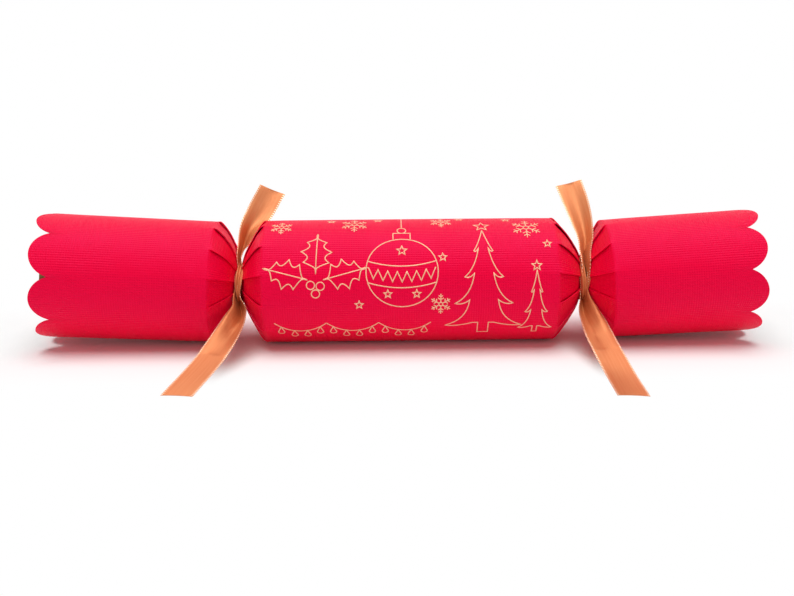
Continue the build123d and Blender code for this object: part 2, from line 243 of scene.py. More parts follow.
def maths(owner, operation, first, second=0.0):
    """Output of a Math node."""
    return add(owner, "Math", {0: first, 1: second}, operation=operation).outputs[0]


def wave(owner, place, pitch):
    """A sine wave along a place."""
    return maths(owner, "SINE", maths(owner, "MULTIPLY", place, 2 * math.pi / pitch))


def noise(owner, place, scale, detail, roughness=0.5, distortion=0.0):
    """Output of a Noise Texture node."""
    inputs = {"Vector": place, "Scale": scale, "Detail": detail, "Roughness": roughness,
              "Distortion": distortion}
    return add(owner, "TexNoise", inputs).outputs["Fac"]


def remap(owner, value, low, high, first=0.0, last=1.0, curve="LINEAR"):
    """A value with the range from low to high taken to that from first to last."""
    inputs = {"Value": value, "From Min": low, "From Max": high, "To Min": first, "To Max": last}
    return add(owner, "MapRange", inputs, interpolation_type=curve).outputs["Result"]


def mix_colours(material, factor, first, second):
    """Output of a colour Mix node, whose two colours are its inputs 6 and 7."""
    return add(material, "Mix", {"Factor": factor, 6: first, 7: second}, data_type="RGBA").outputs[2]


def linear(red, green, blue):
    """A colour written in display values from 0 to 255, as the shaders take it."""
    def channel(value):
        share = value / 255
        return share / 12.92 if share <= 0.04045 else ((share + 0.055) / 1.055) ** 2.4
    return (channel(red), channel(green), channel(blue), 1.0)


def dress(material, shader, colour, height, strength, depth, values):
    """Gives a shader its colour, bumps of a depth in millimetres, and its other values."""
    bump = add(material, "Bump", {"Strength": strength, "Distance": depth * MM, "Height": height})
    link(material, colour, shader.inputs["Base Color"])
    link(material, bump.outputs["Normal"], shader.inputs["Normal"])
    for name, value in values.items():
        shader.inputs[name].default_value = value


def printed_card():
    """Red card with fine lengthwise ribs. Its UV is the flat sheet in millimetres."""
    material, shader, _ = new_material("printed_card")
    sheet = add(material, "UVMap", uv_map="sheet").outputs["UV"]
    place = add(material, "SeparateXYZ", {"Vector": sheet})
    wander = maths(material, "MULTIPLY", noise(material, sheet, scale=0.09, detail=2.0), 0.5)
    rib = wave(material, maths(material, "ADD", place.outputs["Y"], wander), pitch=1.1)
    thread = wave(material, place.outputs["X"], pitch=1.0)
    patches = noise(material, sheet, scale=0.06, detail=3.0, roughness=0.6)
    rib_height = remap(material, patches, low=0.35, high=0.65, first=0.35)
    grain = noise(material, sheet, scale=1.6, detail=4.0, roughness=0.7)
    height = maths(material, "MULTIPLY", rib, rib_height)
    for lesser in (thread, grain):
        height = maths(material, "ADD", height, maths(material, "MULTIPLY", lesser, 0.5))
    tone = remap(material, grain, low=0.3, high=0.7)
    colour = mix_colours(material, tone, linear(248, 0, 50), linear(250, 0, 54))
    dress(material, shader, colour, height, strength=1.0, depth=0.06, values={
        "Roughness": 0.5, "Specular IOR Level": 0.3, "Specular Tint": linear(190, 118, 255)})
    return material


def paper(name, colour, speck, fibre_scale=1200.0, roughness=0.8):
    """Plain paper or board with fibres in its colour and surface."""
    material, shader, _ = new_material(name)
    place = add(material, "TexCoord").outputs["Object"]
    fibres = noise(material, place, scale=fibre_scale, detail=6.0, roughness=0.7)
    clouds = noise(material, place, scale=fibre_scale / 12, detail=3.0)
    share = remap(material, maths(material, "MULTIPLY", fibres, clouds), low=0.15, high=0.4)
    dress(material, shader, mix_colours(material, share, colour, speck), fibres, strength=0.25, depth=0.05,
          values={"Roughness": roughness, "Specular IOR Level": 0.25})
    return material


def gold_foil():
    """Pale peach gold of the stamped lines."""
    material, shader, _ = new_material("gold_foil")
    place = add(material, "TexCoord").outputs["Object"]
    wear = noise(material, place, scale=900.0, detail=5.0)
    share = remap(material, wear, low=0.35, high=0.65)
    colour = mix_colours(material, share, linear(255, 184, 142), linear(255, 200, 164))
    dress(material, shader, colour, wear, strength=0.2, depth=0.03,
          values={"Metallic": 0.1, "Roughness": 0.42})
    return material


def satin():
    """Copper satin with pale loops along its edges. Its UV is the flat ribbon in millimetres."""
    material, shader, _ = new_material("copper_satin")
    sheet = add(material, "UVMap", uv_map="sheet").outputs["UV"]
    place = add(material, "SeparateXYZ", {"Vector": sheet})
    along = place.outputs["X"]
    across = place.outputs["Y"]
    warp = maths(material, "MULTIPLY", wave(material, across, pitch=0.36), 0.8)
    weave = maths(material, "ADD", wave(material, along, pitch=0.42), warp)
    drawn_out = add(material, "Mapping", {"Vector": sheet, "Scale": (0.05, 1.4, 1.0)}).outputs["Vector"]
    streaks = noise(material, drawn_out, scale=1.0, detail=4.0, roughness=0.6)
    tone = remap(material, streaks, low=0.3, high=0.7)
    body = mix_colours(material, tone, linear(211, 125, 76), linear(219, 142, 93))
    from_middle = maths(material, "ABSOLUTE", maths(material, "SUBTRACT", across, ribbon_width / 2))
    on_edge = maths(material, "GREATER_THAN", from_middle, ribbon_width / 2 - selvedge)
    picot = wave(material, along, pitch=1.05)
    loops = maths(material, "MULTIPLY", on_edge, maths(material, "GREATER_THAN", picot, 0.1))
    colour = mix_colours(material, loops, body, linear(255, 228, 200))
    beads = maths(material, "MULTIPLY", maths(material, "MULTIPLY", on_edge, picot), 2.5)
    dress(material, shader, colour, maths(material, "ADD", weave, beads), strength=0.3, depth=0.05, values={
        "Metallic": 0.55, "Roughness": 0.48, "Specular IOR Level": 0.45, "Anisotropic": 0.5,
        "Sheen Weight": 0.12, "Sheen Roughness": 0.4, "Sheen Tint": linear(255, 200, 160)})
    return material


def turned_wood():
    """Varnished beech with its grain along X."""
    material, shader, _ = new_material("turned_wood")
    place = add(material, "TexCoord").outputs["Object"]
    drawn_out = add(material, "Mapping", {"Vector": place, "Scale": (60.0, 900.0, 900.0)}).outputs["Vector"]
    grain = noise(material, drawn_out, scale=1.0, detail=5.0, distortion=0.6)
    share = remap(material, grain, low=0.3, high=0.7)
    colour = mix_colours(material, share, linear(196, 148, 92), linear(226, 186, 132))
    dress(material, shader, colour, grain, strength=0.15, depth=0.08, values={"Roughness": 0.35})
    return material


def add_object(name, mesh, materials):
    """A mesh as an object of the scene, with its materials."""
    for material in materials:
        mesh.materials.append(material)
    obj = bpy.data.objects.new(name, mesh)
    bpy.context.collection.objects.link(obj)
    return obj


def built_object(name, build, materials):
    """A built mesh as an object of the scene, with its materials."""
    mesh = bpy.data.meshes.new(name)
    build.to_mesh(mesh)
    build.free()
    return add_object(name, mesh, materials)


def add_grid(build, uv, points, sheet, corner_steps, slots):
    """Faces between rows of points, with a material slot for each row and places on the flat sheet as UV."""
    vertices = [[build.verts.new(point * MM) for point in row] for row in points]
    for i in range(len(points) - 1):
        for j in range(len(points[0]) - 1):
            corners = [(i + row_step, j + column_step) for row_step, column_step in corner_steps]
            face = build.faces.new([vertices[a][b] for a, b in corners])
            face.smooth = True
            face.material_index = slots[i]
            for loop, (a, b) in zip(face.loops, corners):
                loop[uv].uv = sheet[a, b]


def thicken(obj, thickness, offset, **settings):
    """Gives a skin its thickness: below it (offset -1) or to both sides (0)."""
    solid = obj.modifiers.new("thickness", "SOLIDIFY")
    solid.thickness = thickness * MM
    solid.offset = offset
    for name, value in settings.items():
        setattr(solid, name, value)
    bpy.context.view_layer.update()
    graph = bpy.context.evaluated_depsgraph_get()
    made = bpy.data.meshes.new_from_object(obj.evaluated_get(graph))
    obj.modifiers.clear()
    obj.data = made


def spoke_points(x, radius, angle):
    """Points about the axis, at distances along it, from it and at angles round it."""
    turn = np.radians(angle)
    return np.stack([x, -radius * np.cos(turn), radius * np.sin(turn)], axis=-1)


def crowd(angle, line, share):
    """Angles of even spacing, drawn together to a share of it at a line along the front, and apart behind."""
    half = np.radians((angle - line + 180) % 360 - 180) / 2
    return line + 2 * np.degrees(np.arctan2(share * np.sin(half), np.cos(half)))


def smooth_min(first, second, reach):
    """The lower of two heights, with a round edge between them."""
    share = np.clip(0.5 + 0.5 * (second - first) / reach, 0, 1)
    return second * (1 - share) + first * share - reach * share * (1 - share)


def smooth_rows(rows, count):
    """Rows of numbers along a smooth curve through given rows, spaced by their first three columns."""
    rows = np.asarray(rows, float)
    steps = np.linalg.norm(np.diff(rows[:, :3], axis=0), axis=1)
    marks = np.concatenate([[0], np.cumsum(steps)])
    slopes = np.gradient(rows, marks, axis=0)
    place = np.linspace(0, marks[-1], count)
    before = np.clip(np.searchsorted(marks, place) - 1, 0, len(marks) - 2)
    reach = (marks[before + 1] - marks[before])[:, None]
    share = (place - marks[before])[:, None] / reach
    ahead = share**2 * (3 - 2 * share)
    leave = share * (1 - share) ** 2
    arrive = share**2 * (share - 1)
    curve = rows[before] * (1 - ahead) + rows[before + 1] * ahead
    return curve + (slopes[before] * leave + slopes[before + 1] * arrive) * reach


def panel_radius(x, cone):
    """Distance of a panel's middle line from the axis, at distances from the tear line."""
    curve = smooth_rows(cone, curve_points)
    neck, radius = cone[-1]
    run, rise = curve[-1] - curve[-1 - slope_points]
    return np.where(x > neck, radius + rise / run * (x - neck), np.interp(x, curve[:, 0], curve[:, 1]))


def tube_x(start, end, fine=0.35, growth=1.45, coarse=5.0):
    """Distances along a tube, close together at the crease at its start."""
    found = []
    step = fine
    x = start + step
    while x < end - step / 2:
        found.append(x)
        step = min(step * growth, coarse)
        x += step
    return np.array(found + [end])


def from_throat(x, part):
    """Distances along the axis as distances from a part's tear line."""
    return (x - part["throat"]) * part["side"]


def panel_level(x, part):
    """How far the panels of a cone have parted: 0 at the crease, 1 towards the waist."""
    neck = part["cone"][-1][0]
    return np.clip((neck - lap_start - from_throat(x, part)) / lap_taper, 0, 1)


def card_radius(x, angle, radius, parts):
    """Radius of the card along the axis and round it: tube, seam, front ridge and cones."""
    line = parts[0]["fold_line"]
    off_panel = (crowd(angle, line, 1 / front_spacing) - line) % panel_angle - panel_angle / 2
    flat = math.cos(math.radians(panel_angle / 2)) / np.cos(np.radians(off_panel))
    from_front = np.abs((angle - line + 180) % 360 - 180) * np.radians(radius)
    to_seam = ((line + 180 - angle) % 360) * np.radians(radius)
    height = radius + ridge_height * np.clip(1 - from_front / ridge_reach, 0, 1)
    height = height + seam_height * np.clip(1 - to_seam / seam_reach, 0, 1)
    front = np.clip(np.cos(np.radians(angle)), 0, 1) ** 2
    lower_front = np.clip(np.cos(np.radians(angle - hollow_line)), 0, 1) ** 2
    for part in parts:
        neck = part["cone"][-1][0]
        x_in = from_throat(x, part)
        facet = facet_share * np.exp(-np.maximum(x_in - neck, 0) / facet_reach)
        height = height - facet * radius * (1 - flat)
        panel = panel_radius(x_in, part["cone"]) / np.cos(np.radians(off_panel))
        panel = panel - dent_depth * front * np.exp(-((x_in / dent_reach) ** 2))
        panel = panel - part["hollow"] * lower_front * np.sin(math.pi * np.clip(x_in / neck, 0, 1))
        height = smooth_min(panel, height, crease_round)
    return height


def panel_laps(panel, share, height):
    """How far a panel reaches round past its seams and how far it rises, across its width from -1 to 1."""
    half_width = np.radians(panel_angle / 2) * height
    reach = np.zeros_like(height)
    rise = np.zeros_like(height)
    for edge, lap in ((-1, first_edge_lap[panel]), (1, second_edge_lap[panel])):
        over = max(lap, 0)
        under = max(-lap, 0)
        reach += edge * (over * lap_over + under * lap_under) * np.clip(edge * share, 0, 1) ** 2
        rise += lap * lap_rise * (1 + edge * share) / 2
        rise -= under * tuck_depth * np.exp(-(1 - edge * share) * half_width / tuck_reach)
    return reach, rise


def print_slots(rows, parts):
    """Material slot of each row's outside. The slot after it is the inside's: pale after 0, red after 2."""
    turned_in = [from_throat(rows, part) < part["cone"][-1][0] + print_turn_in for part in parts]
    return [2 if red else 0 for red in np.any(turned_in, axis=0)]


def sleeve(name, rows, height_of, parts, mouth, place, corner_steps):
    """A card sleeve as one skin, whose panels lap over each other, and then given its thickness.

    rows are distances along the axis, height_of gives the card's radius at a place and an angle, mouth moves
    the rows near a lobed edge, and place moves points from the sleeve's own axis into the frame.
    """
    build = bmesh.new()
    uv = build.loops.layers.uv.new("sheet")
    line = parts[0]["fold_line"]
    slots = print_slots(rows, parts)
    inside = 1 - 1e-4  # keeps the points along a panel's edges on that panel
    x, share = np.meshgrid(rows, np.linspace(-1, 1, columns_per_panel + 1), indexing="ij")
    level = sum(panel_level(x, part) for part in parts)
    for panel in range(panel_count):
        middle = line + 180 + (panel + 0.5) * panel_angle
        angle = crowd(middle + share * inside * panel_angle / 2, line, front_spacing)
        height = height_of(x, angle)
        reach, rise = panel_laps(panel, share, height)
        height = height + level * rise
        lapped = angle + np.degrees(level * reach / height)
        points = place(spoke_points(mouth(x, angle), height, lapped))
        around = np.radians(middle + share * panel_angle / 2) * barrel_radius
        add_grid(build, uv, points, np.stack([x, around], axis=-1), corner_steps, slots)
    bmesh.ops.remove_doubles(build, verts=build.verts, dist=weld_distance * MM)
    skin = built_object(name, build, [card_material, reverse_material, card_material, card_material])
    thicken(skin, card_thickness, offset=-1, use_quality_normals=True, material_offset=1)
    skin.data.set_sharp_from_angle(angle=math.radians(card_sharp_angle))
    return skin


def barrel_place(points):
    """From the barrel's axis into the frame."""
    return points + np.array([0, 0, axis_height])


def barrel_own(points):
    """From the frame to the barrel's axis."""
    return points - np.array([0, 0, axis_height])


def end_place(end):
    """From an end's own axis, with its throat at x = 0, into the frame: tipped up, turned round and moved."""
    tilt = math.radians(end_lift)

    def place(points):
        x = points[..., 0] * math.cos(tilt) - points[..., 2] * math.sin(tilt)
        z = points[..., 0] * math.sin(tilt) + points[..., 2] * math.cos(tilt)
        frame_x = end["throat"] + end["side"] * x
        return np.stack([frame_x, points[..., 1], axis_height - end["drop"] + z], axis=-1)

    return place


def end_own(end):
    """From the frame to an end's own axis."""
    tilt = math.radians(end_lift)

    def own(points):
        x = from_throat(points[..., 0], end)
        z = points[..., 2] - axis_height + end["drop"]
        own_x = x * math.cos(tilt) + z * math.sin(tilt)
        return np.stack([own_x, points[..., 1], z * math.cos(tilt) - x * math.sin(tilt)], axis=-1)

    return own


def on_own_axis(end):
    """An end as a part that lies on its own axis."""
    return dict(end, throat=0.0, side=1)


def lobed_mouth(end):
    """Where the card of an end lies along its axis. Rows near the mouth are drawn into lobes."""
    tip = end["tip"]
    depth = end["scallop_depth"]
    start = tip - depth - lobe_reach
    half_width = end["mouth_radius"] * math.sin(math.pi / scallop_count)
    lobe_radius = (half_width**2 + depth**2) / (2 * depth)
    pitch = 360 / scallop_count

    def mouth(x, angle):
        even = crowd(angle, end["scallop_line"], 1 / front_spacing)
        off = (even - end["scallop_line"]) % pitch - pitch / 2
        across = end["mouth_radius"] * np.sin(np.radians(off))
        bow = mouth_bow * np.sin(np.radians(angle - mouth_bow_line)) ** 2
        reach = tip + bow + mouth_lean * np.sin(np.radians(angle))
        edge = reach - lobe_radius + np.sqrt(np.maximum(lobe_radius**2 - across**2, 0))
        share = np.clip((x - start) / (tip - start), 0, None)
        return np.where(x > start, start + (edge - start) * share, x)

    return mouth


def end_height(end):
    """Radius of an end's card: a cone of panels and a slightly flared tube."""
    neck, shoulder_radius = end["cone"][-1]
    slope = (end["mouth_radius"] - shoulder_radius) / (end["tip"] - neck)

    def height_of(x, angle):
        radius = shoulder_radius + slope * np.clip(x - neck, 0, None)
        return card_radius(x, angle, radius, [on_own_axis(end)])

    return height_of


def end_sleeve(name, end):
    """One end of the cracker."""
    cone_rows = smooth_rows(end["cone"], cone_stations)[:, 0]
    rows = np.concatenate([cone_rows, tube_x(cone_rows[-1], end["tip"])])
    corner_steps = rows_first if end["side"] > 0 else rows_first[::-1]
    return sleeve(name, rows, end_height(end), [on_own_axis(end)], lobed_mouth(end), end_place(end),
                  corner_steps)


def barrel_height(x, angle):
    """Radius of the barrel's card, flattened a little where it rests."""
    height = card_radius(x, angle, np.full_like(x, barrel_radius), [barrel_left, barrel_right])
    down = np.maximum(-np.sin(np.radians(angle)), underside_sine)
    return np.minimum(height, axis_height / down)


def barrel_sleeve():
    """The barrel with a cone of panels at each end."""
    left_rows = left_neck_x + smooth_rows(barrel_left["cone"], cone_stations)[:, 0]
    right_rows = right_neck_x - smooth_rows(barrel_right["cone"], cone_stations)[:, 0]
    middle = (left_rows[-1] + right_rows[-1]) / 2
    left_tube = tube_x(left_rows[-1], middle)
    right_tube = left_rows[-1] + right_rows[-1] - left_tube[:-1]
    rows = np.concatenate([left_rows, left_tube, right_tube[::-1], right_rows[::-1]])
    return sleeve("barrel_card", rows, barrel_height, [barrel_left, barrel_right], lambda x, angle: x,
                  barrel_place, rows_first)


def push_out(points):
    """Moves points that lie in the card, or closer to it than the ribbon may be, straight out of it."""
    sleeves = [(barrel_own, barrel_height, barrel_place, left_neck_x, right_neck_x)]
    for end in (left_end, right_end):
        sleeves.append((end_own(end), end_height(end), end_place(end), 0.0, math.inf))
    for own_of, height_of, place, first_x, last_x in sleeves:
        own = own_of(points)
        x = own[..., 0]
        angle = np.degrees(np.arctan2(own[..., 2], -own[..., 1]))
        clear = height_of(x, angle) + lap_rise + card_clearance
        radius = np.maximum(np.hypot(own[..., 1], own[..., 2]), clear)
        here = (x > first_x) & (x < last_x)
        points = np.where(here[..., None], place(spoke_points(x, radius, angle)), points)
    return points


def ribbon_strip(build, uv, tie, rows, folds, valley, depth_share, start=0.0, turn=0.0, cut=0.0, free=False):
    """One stretch of ribbon, folded lengthwise where it is drawn together to less than its width.

    valley is where across the width a fold is deepest, turn is how far the width is turned back, and a free
    stretch is kept clear of the card. Gives the ribbon's length so far.
    """
    rows = smooth_rows(rows, ribbon_stations)
    middle = rows[:, :3] + np.array(tie)
    ahead = np.gradient(middle, axis=0)
    ahead /= np.linalg.norm(ahead, axis=1)[:, None]
    width = np.clip(rows[:, 3], 1.0, ribbon_width)
    tip = np.radians(rows[:, 4])
    back = np.full_like(tip, math.radians(turn))
    side = np.stack([np.cos(tip) * np.cos(back), np.sin(back), np.sin(tip) * np.cos(back)], axis=1)
    side -= np.sum(side * ahead, axis=1)[:, None] * ahead
    side /= np.linalg.norm(side, axis=1)[:, None]
    outward = np.cross(ahead, side)
    share = np.linspace(-1, 1, ribbon_columns + 1)[None, :]
    depth = 0.5 * np.sqrt(ribbon_width**2 - width**2) / (2 * folds) * depth_share
    folded = -depth[:, None] * np.cos(math.pi * folds * (share - valley))
    bulge = rows[:, 5][:, None] * (1 - share**2)
    askew = cut * (np.linspace(0, 1, ribbon_stations) ** 6)[:, None] * share
    points = (middle[:, None, :] + side[:, None, :] * (width[:, None] / 2 * share)[..., None]
              + outward[:, None, :] * (folded + bulge)[..., None])
    points = points + ahead[:, None, :] * askew[..., None]
    if free:
        points = push_out(points)
    points[..., 2] = np.maximum(points[..., 2], ribbon_thickness)
    lengthwise = start + np.concatenate([[0], np.cumsum(np.linalg.norm(np.diff(middle, axis=0), axis=1))])
    crosswise = np.linspace(0, ribbon_width, ribbon_columns + 1)
    sheet = np.stack(np.meshgrid(lengthwise, crosswise, indexing="ij"), axis=-1)
    add_grid(build, uv, points, sheet, columns_first, [0] * ribbon_stations)
    return lengthwise[-1]


def ribbon(name, bow):
    """A tied ribbon: the strand round the neck, the turn beside it and the two tails."""
    build = bmesh.new()
    uv = build.loops.layers.uv.new("sheet")
    tie = bow["tie"]
    length = ribbon_strip(build, uv, tie, bow["strand"], folds=2, valley=0.15, depth_share=0.3)
    length = ribbon_strip(build, uv, tie, bow["wrap"], folds=1, valley=0.0, depth_share=0.1, start=length)
    length = ribbon_strip(build, uv, tie, bow["upper"], folds=1, valley=1.1, depth_share=0.9, start=length,
                          turn=bow["upper_turn"], cut=bow["upper_cut"], free=True)
    ribbon_strip(build, uv, tie, bow["lower"], folds=1, valley=bow["lower_valley"], depth_share=1.2,
                 start=length, cut=bow["lower_cut"], free=True)
    cloth = built_object(name, build, [ribbon_material])
    thicken(cloth, ribbon_thickness, offset=0)
    cloth.data.set_sharp_from_angle(angle=math.radians(ribbon_sharp_angle))
    return cloth


def resample(points, step):
    """A line of points with no step longer than a given one."""
    points = np.asarray(points, float)
    found = [points[0]]
    for start, end in zip(points[:-1], points[1:]):
        count = math.ceil(np.hypot(*(end - start)) / step - 1e-6)
        for k in range(1, count + 1):
            found.append(start + (end - start) * k / count)
    return np.array(found)


def turned(points, u, v, angle):
    """Points turned about the sheet's origin and then moved."""
    points = np.asarray(points, float)
    cosine = math.cos(math.radians(angle))
    sine = math.sin(math.radians(angle))
    return np.stack([u + points[:, 0] * cosine - points[:, 1] * sine,
                     v + points[:, 0] * sine + points[:, 1] * cosine], axis=1)


def ring(u, v, radius, start=0, end=360):
    """Points along an arc of the flat sheet, in degrees from +u towards +v."""
    count = max(3, math.ceil(abs(end - start) / arc_step))
    turn = np.radians(np.linspace(start, end, count + 1))
    return np.stack([u + radius * np.cos(turn), v + radius * np.sin(turn)], axis=1)


def bend(start, middle, end, count=8):
    """A curve from start to end that leans towards a middle point."""
    start, middle, end = (np.array(p, float) for p in (start, middle, end))
    share = np.linspace(0, 1, count + 1)[:, None]
    return start * (1 - share) ** 2 + 2 * middle * share * (1 - share) + end * share**2


def star(u, v, size, points=5, inner=0.42):
    """Outline of a star with one point up."""
    corner = np.arange(2 * points + 1)
    turn = np.radians(90 + corner * 180 / points)
    radius = np.where(corner % 2 == 0, size, size * inner)
    return np.stack([u + radius * np.cos(turn), v + radius * np.sin(turn)], axis=1)


def snowflake(u, v, size, hub=0.18, twigs=((0.45, 0.26), (0.72, 0.2)), lean=0.6):
    """Lines of a snowflake. Each of its six arms has pairs of twigs, at shares of its length and as long."""
    lines = []
    for angle in range(30, 390, 60):
        lines.append(turned([(hub * size, 0), (size, 0)], u, v, angle))
        for at, twig in twigs:
            ends = [(at + lean * twig, twig), (at, 0), (at + lean * twig, -twig)]
            lines.append(turned(np.array(ends) * size, u, v, angle))
    lines.append(ring(u, v, hub * size))
    return lines


def fir(u, v, width, height, tiers):
    """Outline of a fir tree whose foot is at (u, v), with drooping tiers and a trunk."""
    trunk = 0.1 * height
    trunk_half = 0.07 * width
    lift = 0.03 * height
    tier_height = (height - trunk) / tiers
    half = []
    for tier in range(tiers):
        reach = width / 2 * (tier + 1) / tiers
        low = height - tier_height * (tier + 1)
        first = (0, height) if tier == 0 else half[-1][-1]
        half.append(bend(first, (0.45 * reach, low + 0.3 * tier_height), (reach, low)))
        inner = 0.5 * reach if tier < tiers - 1 else 2 * trunk_half
        half.append(bend((reach, low), (0.75 * reach, low - 0.02 * height), (inner, low + lift)))
    half.append(np.array([(trunk_half, trunk + lift), (trunk_half, 0), (0, 0)]))
    right = np.concatenate(half)
    left = right[::-1] * np.array([-1, 1])
    return [np.concatenate([right, left]) + np.array([u, v])]


def holly_leaf(u, v, length, width, angle, spikes=4, bay=0.34, fullness=0.85):
    """Outline and midrib of a holly leaf that grows from (u, v)."""
    sides = []
    for side in (1, -1):
        points = []
        for spike in range(spikes):
            share = np.linspace(0, 1, 7)[:-1]
            along = (spike + share) / spikes
            start = math.sin(math.pi * (spike / spikes) ** fullness)
            end = math.sin(math.pi * ((spike + 1) / spikes) ** fullness)
            reach = start + (end - start) * share - bay * np.sin(math.pi * share)
            across = side * width / 2 * np.maximum(reach, 0.05 * share)
            points.append(np.stack([along * length, across], axis=1))
        sides.append(np.concatenate(points + [np.array([(length, 0)])]))
    outline = np.concatenate([sides[0], sides[1][::-1]])
    rib = np.array([(0, 0), (0.86 * length, 0)])
    return [turned(outline, u, v, angle), turned(rib, u, v, angle)]


def bauble(u, v, radius, hang, band=0.3, corners=15):
    """A hanging ball with a cap, a zigzag between two bands, and a thread up to hang."""
    cap = 0.24 * radius
    cap_foot = v + 0.97 * radius
    cap_top = v + radius + cap
    lines = [ring(u, v, radius)]
    lines.append(np.array([(u - cap, cap_foot), (u - cap, cap_top), (u + cap, cap_top), (u + cap, cap_foot)]))
    lines.append(ring(u, v + radius + 1.5 * cap, 0.5 * cap))
    lines.append(np.array([(u, v + radius + 2 * cap), (u, hang)]))
    for level in (band, -band):
        reach = radius * math.sqrt(1 - level**2)
        height = v + level * radius
        lines.append(bend((u - reach, height), (u, v + (level - band) * radius), (u + reach, height), 20))
    share = np.linspace(-0.93, 0.93, corners)
    zigzag = np.where(np.arange(corners) % 2 == 0, 0.14, -0.14)
    lines.append(np.stack([u + share * radius, v + radius * (zigzag - band / 2 * (1 - share**2))], axis=1))
    return lines


def swag(start, end, v, sag, bulbs, drop=3.4, bulb_radius=1.3):
    """A hanging string with drops on it."""
    share = np.linspace(0, 1, 25)
    lines = [np.stack([start + (end - start) * share, v - 4 * sag * share * (1 - share)], axis=1)]
    for bulb in range(bulbs):
        place = (bulb + 0.5) / bulbs
        u = start + (end - start) * place
        top = v - 4 * sag * place * (1 - place)
        lines.append(np.concatenate([[(u, top)], ring(u, top - drop, bulb_radius, 150, 390), [(u, top)]]))
    return lines


def gold_design():
    """Lines of the design on the flat sheet: u along the barrel, v round it from the front upwards."""
    lines = bauble(u=-3, v=10, radius=15, hang=46)
    lines += fir(u=31, v=-20, width=32, height=50, tiers=4)
    lines += fir(u=53, v=-20, width=14, height=30, tiers=3)
    stem_u, stem_v, stem_gap = -39, 6, 3.4
    for angle in (15, 88, 165):
        foot_u = stem_u + stem_gap * math.cos(math.radians(angle))
        foot_v = stem_v + stem_gap * math.sin(math.radians(angle))
        lines += holly_leaf(foot_u, foot_v, length=19, width=13, angle=angle)
    lines += [ring(u, v, radius=1.7) for u, v in ((-41, 4.6), (-37, 4.2), (-39, 1.0))]
    stars = [(-3, 19.2, 2.2), (-9, 0.6, 1.8), (3, 0.6, 1.8), (31, 33.2, 3.4), (53, 12.0, 2.2), (-33, 40, 1.8),
             (-13, 41, 1.8), (22, 42, 1.8), (42, 40, 1.8), (58, 22, 1.8), (14, 16, 1.8), (-21, -4, 1.8)]
    lines += [star(u, v, size) for u, v, size in stars]
    for u, v, size in ((-23, 36, 6), (-54, 34, 5), (14, 38, 5), (50, 32, 6.5), (13, -4, 4.5)):
        lines += snowflake(u, v, size)
    for start in (-57, -35, -13):
        lines += swag(start, start + 22, v=-13, sag=5, bulbs=4)
    return lines


def on_barrel(flat):
    """Points of the flat sheet on the barrel's card, raised a little."""
    angle = np.degrees(flat[:, 1] / barrel_radius)
    return barrel_place(spoke_points(flat[:, 0], barrel_height(flat[:, 0], angle) + foil_rise, angle))


def gold_lines():
    """The design as narrow raised strips on the barrel, with mitred corners."""
    build = bmesh.new()
    for line in gold_design():
        line = resample(line, foil_step)
        closed = np.hypot(*(line[0] - line[-1])) < 1e-6
        steps = np.diff(line, axis=0)
        steps /= np.linalg.norm(steps, axis=1)[:, None]
        before = np.concatenate([steps[-1:] if closed else steps[:1], steps])
        after = np.concatenate([steps, steps[:1] if closed else steps[-1:]])
        lean = before + after
        lean /= np.maximum(np.linalg.norm(lean, axis=1), hairpin_limit)[:, None]
        stretch = 1 / np.maximum(np.sum(lean * after, axis=1), mitre_limit)
        aside = np.stack([-lean[:, 1], lean[:, 0]], axis=1) * stretch[:, None] * foil_width / 2
        upper = [build.verts.new(point * MM) for point in on_barrel(line + aside)]
        lower = [build.verts.new(point * MM) for point in on_barrel(line - aside)]
        for k in range(len(line) - 1):
            face = build.faces.new([lower[k], lower[k + 1], upper[k + 1], upper[k]])
            face.smooth = True
    foil = built_object("gold_lines", build, [foil_material])
    thicken(foil, 2 * foil_rise, offset=-1)
    return foil


def paint(node, material):
    """Gives a CAD node its material."""
    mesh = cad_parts[node].data
    mesh.materials.clear()
    mesh.materials.append(material)


def rework(name, node, body, material, move):
    """A copy of a CAD node's mesh with its points moved, which stands in for the node."""
    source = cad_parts[node]
    mesh = source.data.copy()
    mesh.transform(source.matrix_world)
    mesh.materials.clear()
    for vertex in mesh.vertices:
        vertex.co = move(vertex.co)
    piece = add_object(name, mesh, [material])
    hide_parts(node)
    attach(piece, body)


def behind_shoulders(point):
    """A point of the liner, drawn in from the rounded shoulders of the barrel's card."""
    return Vector((point.x * liner_share, point.y, point.z))


def out_to_notch(point):
    """A point of the left strip, whose end is moved out so that it shows in the mouth's front notch."""
    if point.x > strip_end_from * MM:
        return point
    tilt = math.radians(end_lift)
    return point + strip_end_move * MM * Vector((-math.cos(tilt), 0, math.sin(tilt)))


def place_camera():
    """The photograph's camera."""
    azimuth, elevation, roll = (math.radians(v) for v in (camera_azimuth, camera_elevation, camera_roll))
    level = math.cos(elevation)
    back = Vector((math.sin(azimuth) * level, -math.cos(azimuth) * level, math.sin(elevation)))
    side = (-back).cross(Vector((0, 0, 1))).normalized()
    up = side.cross(-back)
    right = side * math.cos(roll) + up * math.sin(roll)
    top = up * math.cos(roll) - side * math.sin(roll)
    camera = bpy.data.objects.new("camera", bpy.data.cameras.new("camera"))
    bpy.context.collection.objects.link(camera)
    turn = Matrix((right, top, back)).transposed().to_4x4()
    camera.matrix_world = Matrix.Translation((camera_aim + back * camera_distance) * MM) @ turn
    camera.data.sensor_width = sensor_width
    camera.data.lens = sensor_width * focal_pixels / image_width
    camera.data.clip_start = near_clip * MM
    bpy.context.scene.camera = camera


def seen(owner):
    """1 for rays that show a surface, straight, mirrored or through glass, and 0 for those of its light."""
    path = add(owner, "LightPath")
    mirrored = maths(owner, "MAXIMUM", path.outputs["Is Camera Ray"], path.outputs["Is Glossy Ray"])
    return maths(owner, "MAXIMUM", mirrored, path.outputs["Is Transmission Ray"])


